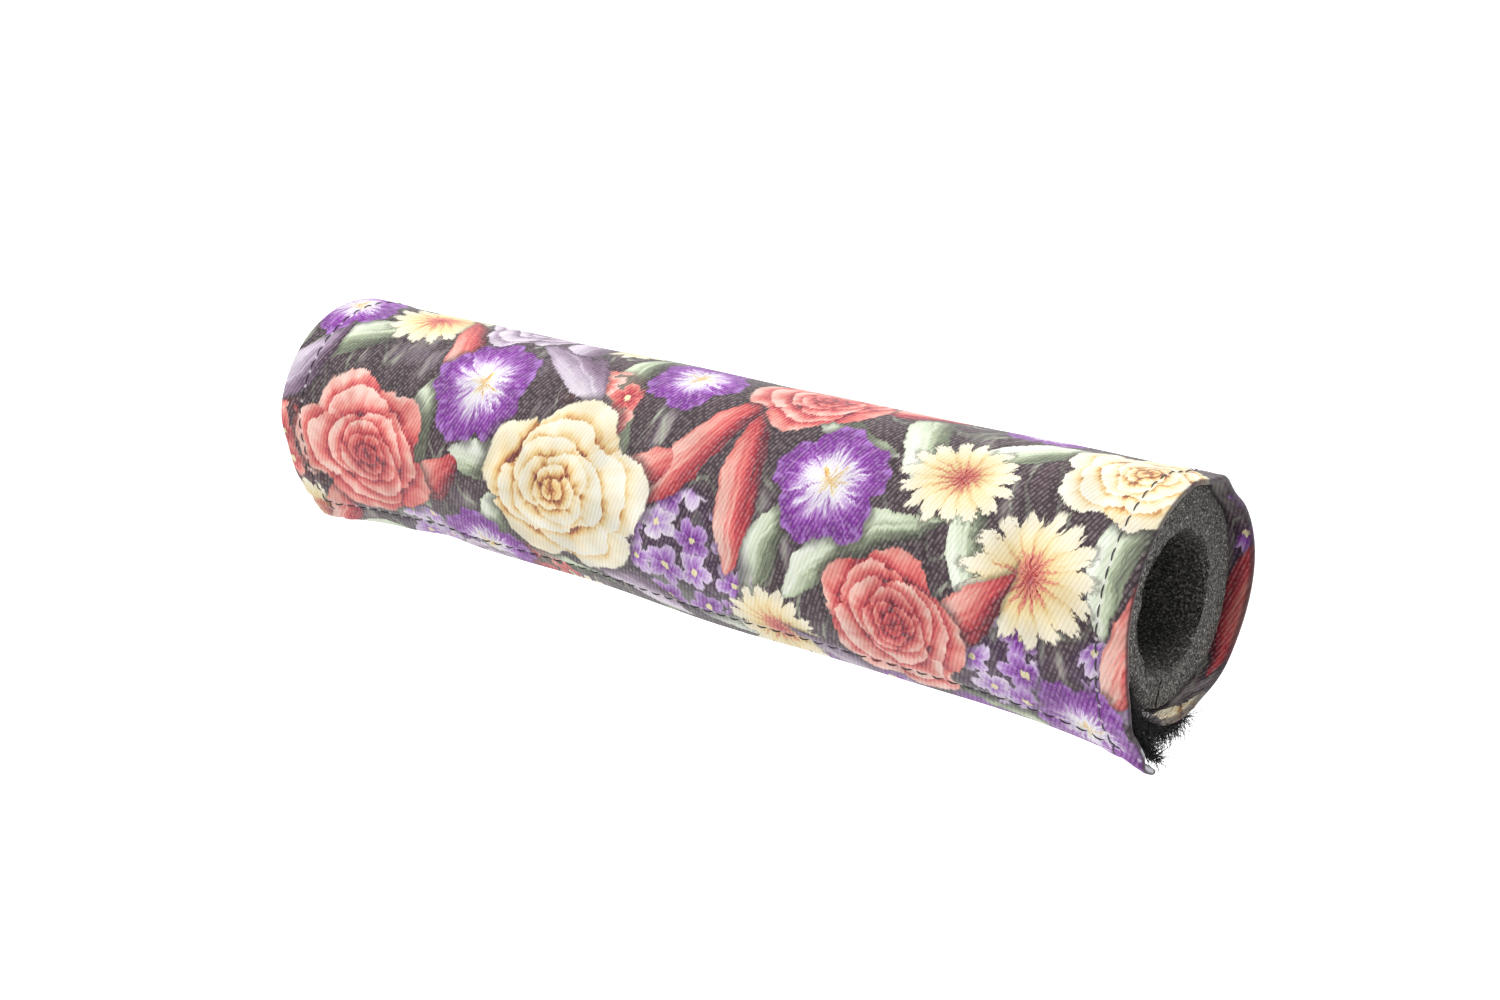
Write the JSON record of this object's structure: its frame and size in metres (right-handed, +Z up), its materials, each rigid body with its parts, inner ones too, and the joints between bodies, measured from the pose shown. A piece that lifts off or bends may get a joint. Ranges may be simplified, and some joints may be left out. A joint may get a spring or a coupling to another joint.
{
  "type": "bmx handlebar pad",
  "caption": "Padded crossbar sleeve: a floral-print cloth cover wrapped round a slit foam tube and shut underneath by a lapped hook and loop flap.",
  "frame": {"origin": "on the axis of the foam's bore, at mid-length of the pad", "axes": "+X along the bar towards the open, flared end of the flap; +Y to the back; +Z up, with the closure on the underside"},
  "size_m": [0.2061, 0.049, 0.052],
  "materials": {
    "foam": "matt charcoal closed-cell foam with a fine pale speckle",
    "printed_cloth": "polyester twill with a multicolour floral print on a plum-black ground, satin to matt",
    "hook_tape": "black nylon hook tape",
    "loop_tape": "black napped nylon loop tape with frayed cut ends"
  },
  "bodies": {
    "root": {"foam_core": "foam", "cover": "printed_cloth", "hook_strip": "hook_tape", "loop_strip": "loop_tape"}
  },
  "joints": []
}
